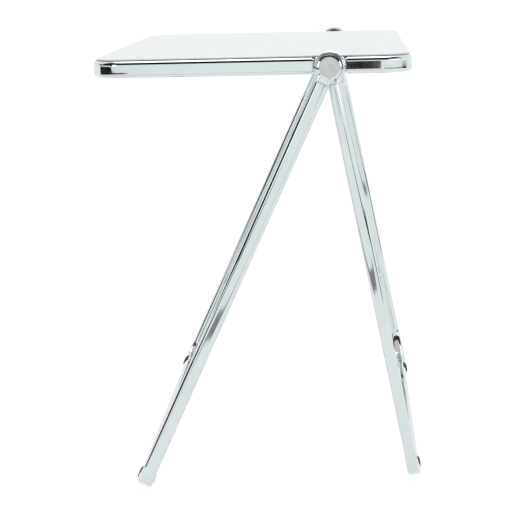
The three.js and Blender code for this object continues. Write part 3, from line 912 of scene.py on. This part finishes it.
# What the chrome mirrors: a bright wall all round, dark low strips and corners of the room on both sides, a
# dark curtain on the left, and a soft box in front on each side.
DARK, WALL_GLOW, BOX_GLOW = 0, 1.07, 1.7
LEFT, RIGHT = (-0.1, -0.4), (0.2, -0.4)
ROOM_LEFT = [(-11, 2.6, 0.3, 0.5), (-45, 2.6, 0.26, 0.52), (-54, 2.6, 0.1, 0.6), (-95, 2.6, 0.1, 0.6)]
ROOM_RIGHT = [(12, 2.6, 0.38, 0.47), (84, 2.6, 0.4, 0.49), (85, 2.6, 0.2, 0.52), (108, 2.6, 0.2, 0.52)]
screen("wall", (0, 0), [(bearing, 3.2, 0, 1.3) for bearing in range(0, 361, 15)], WALL_GLOW)
screen("room_left", LEFT, ROOM_LEFT, DARK)
screen("side_left", LEFT, [(-43, 2.5, 0.62, 1.5), (-54, 2.5, 0.76, 1.5), (-100, 2.5, 0.76, 1.5)], DARK)
screen("room_right", RIGHT, ROOM_RIGHT, DARK)
screen("box_left", LEFT, [(-28, 2.5, 0.66, 1.5), (-43, 2.5, 0.66, 1.5)], BOX_GLOW)
screen("box_right", RIGHT, [(30, 2.5, 0.8, 1.5), (78, 2.5, 0.8, 1.5)], BOX_GLOW)

# A stand behind the camera, and a grey strip across the floor that the chrome mirrors as a thin darker line;
# neither is seen directly.
stand = [(HUB.x + x, -3.0, z) for x, z in ((0, 0.36), (0.155, 0.36), (0.155, 0.68), (0, 0.68))]
plain_sheet("stand", stand, [(0, 1, 2, 3)], 0.015, 0, seen=False)
grey_floor_strip = [(-1.76, 0.35), (-1.92, 0.23), (0.87, -2.91), (1.0, -2.78)]
plain_sheet("grey_floor_strip", [(x, y, 0.004) for x, y in grey_floor_strip], [(0, 1, 2, 3)], 0.2, 0.12, seen=False)

# Distances from the hub axis and the floor, turns in degrees, and the lens in millimetres.
CAMERA = {"back": 2.7593, "side": 0.0321, "height": 0.8795, "yaw": -2.09, "pitch": 11.537, "roll": -1.353,
          "lens": 103.43, "shift": -0.0825}
SOFTBOX = {"size": 2.6, "height": 3.2, "watts": 16}

world = bpy.data.worlds.new("studio")
bpy.context.scene.world = world
world.use_nodes = True


def studio(tree):
    """White for the eye; in reflections and as light, a bright ceiling over a dark band, and bright sides."""
    nodes, links = tree.nodes, tree.links
    background = nodes["Background"]

    def step(value, low, high):
        node = nodes.new("ShaderNodeMapRange")
        node.interpolation_type = "SMOOTHSTEP"
        node.inputs["From Min"].default_value = low
        node.inputs["From Max"].default_value = high
        links.new(value, node.inputs["Value"])
        return node.outputs["Result"]

    def combine(operation, a, b):
        node = nodes.new("ShaderNodeMath")
        node.operation = operation
        for socket, value in zip(node.inputs, (a, b)):
            if isinstance(value, (int, float)):
                socket.default_value = value
            else:
                links.new(value, socket)
        return node.outputs["Value"]

    split = nodes.new("ShaderNodeSeparateXYZ")
    links.new(nodes.new("ShaderNodeTexCoord").outputs["Generated"], split.inputs["Vector"])
    x, y, up = split.outputs
    ceiling = step(up, 0.88, 0.93)
    low = combine("SUBTRACT", 1, step(up, 0.13, 0.19))
    level = combine("ADD", combine("MULTIPLY", x, x), combine("MULTIPLY", y, y))
    facing = combine("DIVIDE", combine("MULTIPLY", y, -1), combine("SQRT", level, 0))
    beside = combine("SUBTRACT", 1, step(facing, 0.02, 0.14))
    light = combine("MAXIMUM", combine("MULTIPLY", ceiling, 1.9),
                    combine("MAXIMUM", combine("MULTIPLY", low, 0.95), beside))
    eye = nodes.new("ShaderNodeLightPath").outputs["Is Camera Ray"]
    shown = combine("MAXIMUM", combine("ADD", light, 0.02), eye)
    links.new(shown, background.inputs["Strength"])
    background.inputs["Color"].default_value = (1, 1, 1, 1)


studio(world.node_tree)

lamp = bpy.data.lights.new("softbox", "AREA")
lamp.shape = "RECTANGLE"
lamp.size = lamp.size_y = SOFTBOX["size"]
lamp.energy = SOFTBOX["watts"]
softbox = bpy.data.objects.new("softbox", lamp)
softbox.location = (HUB.x, 0, SOFTBOX["height"])
bpy.context.scene.collection.objects.link(softbox)

lens = bpy.data.cameras.new("camera")
lens.lens = CAMERA["lens"]
lens.sensor_width = 36
lens.shift_x = CAMERA["shift"]
lens.clip_end = 200
camera = bpy.data.objects.new("camera", lens)
bpy.context.scene.collection.objects.link(camera)
camera.location = (HUB.x + CAMERA["side"], -CAMERA["back"], CAMERA["height"])
look = Matrix.Rotation(math.radians(-CAMERA["yaw"]), 3, "Z") @ Matrix.Rotation(
    math.radians(90 - CAMERA["pitch"]), 3, "X")
camera.rotation_mode = "QUATERNION"
camera.rotation_quaternion = look.to_quaternion() @ Quaternion((0, 0, 1), math.radians(CAMERA["roll"]))
bpy.context.scene.camera = camera
bpy.context.scene.view_settings.view_transform = "Standard"
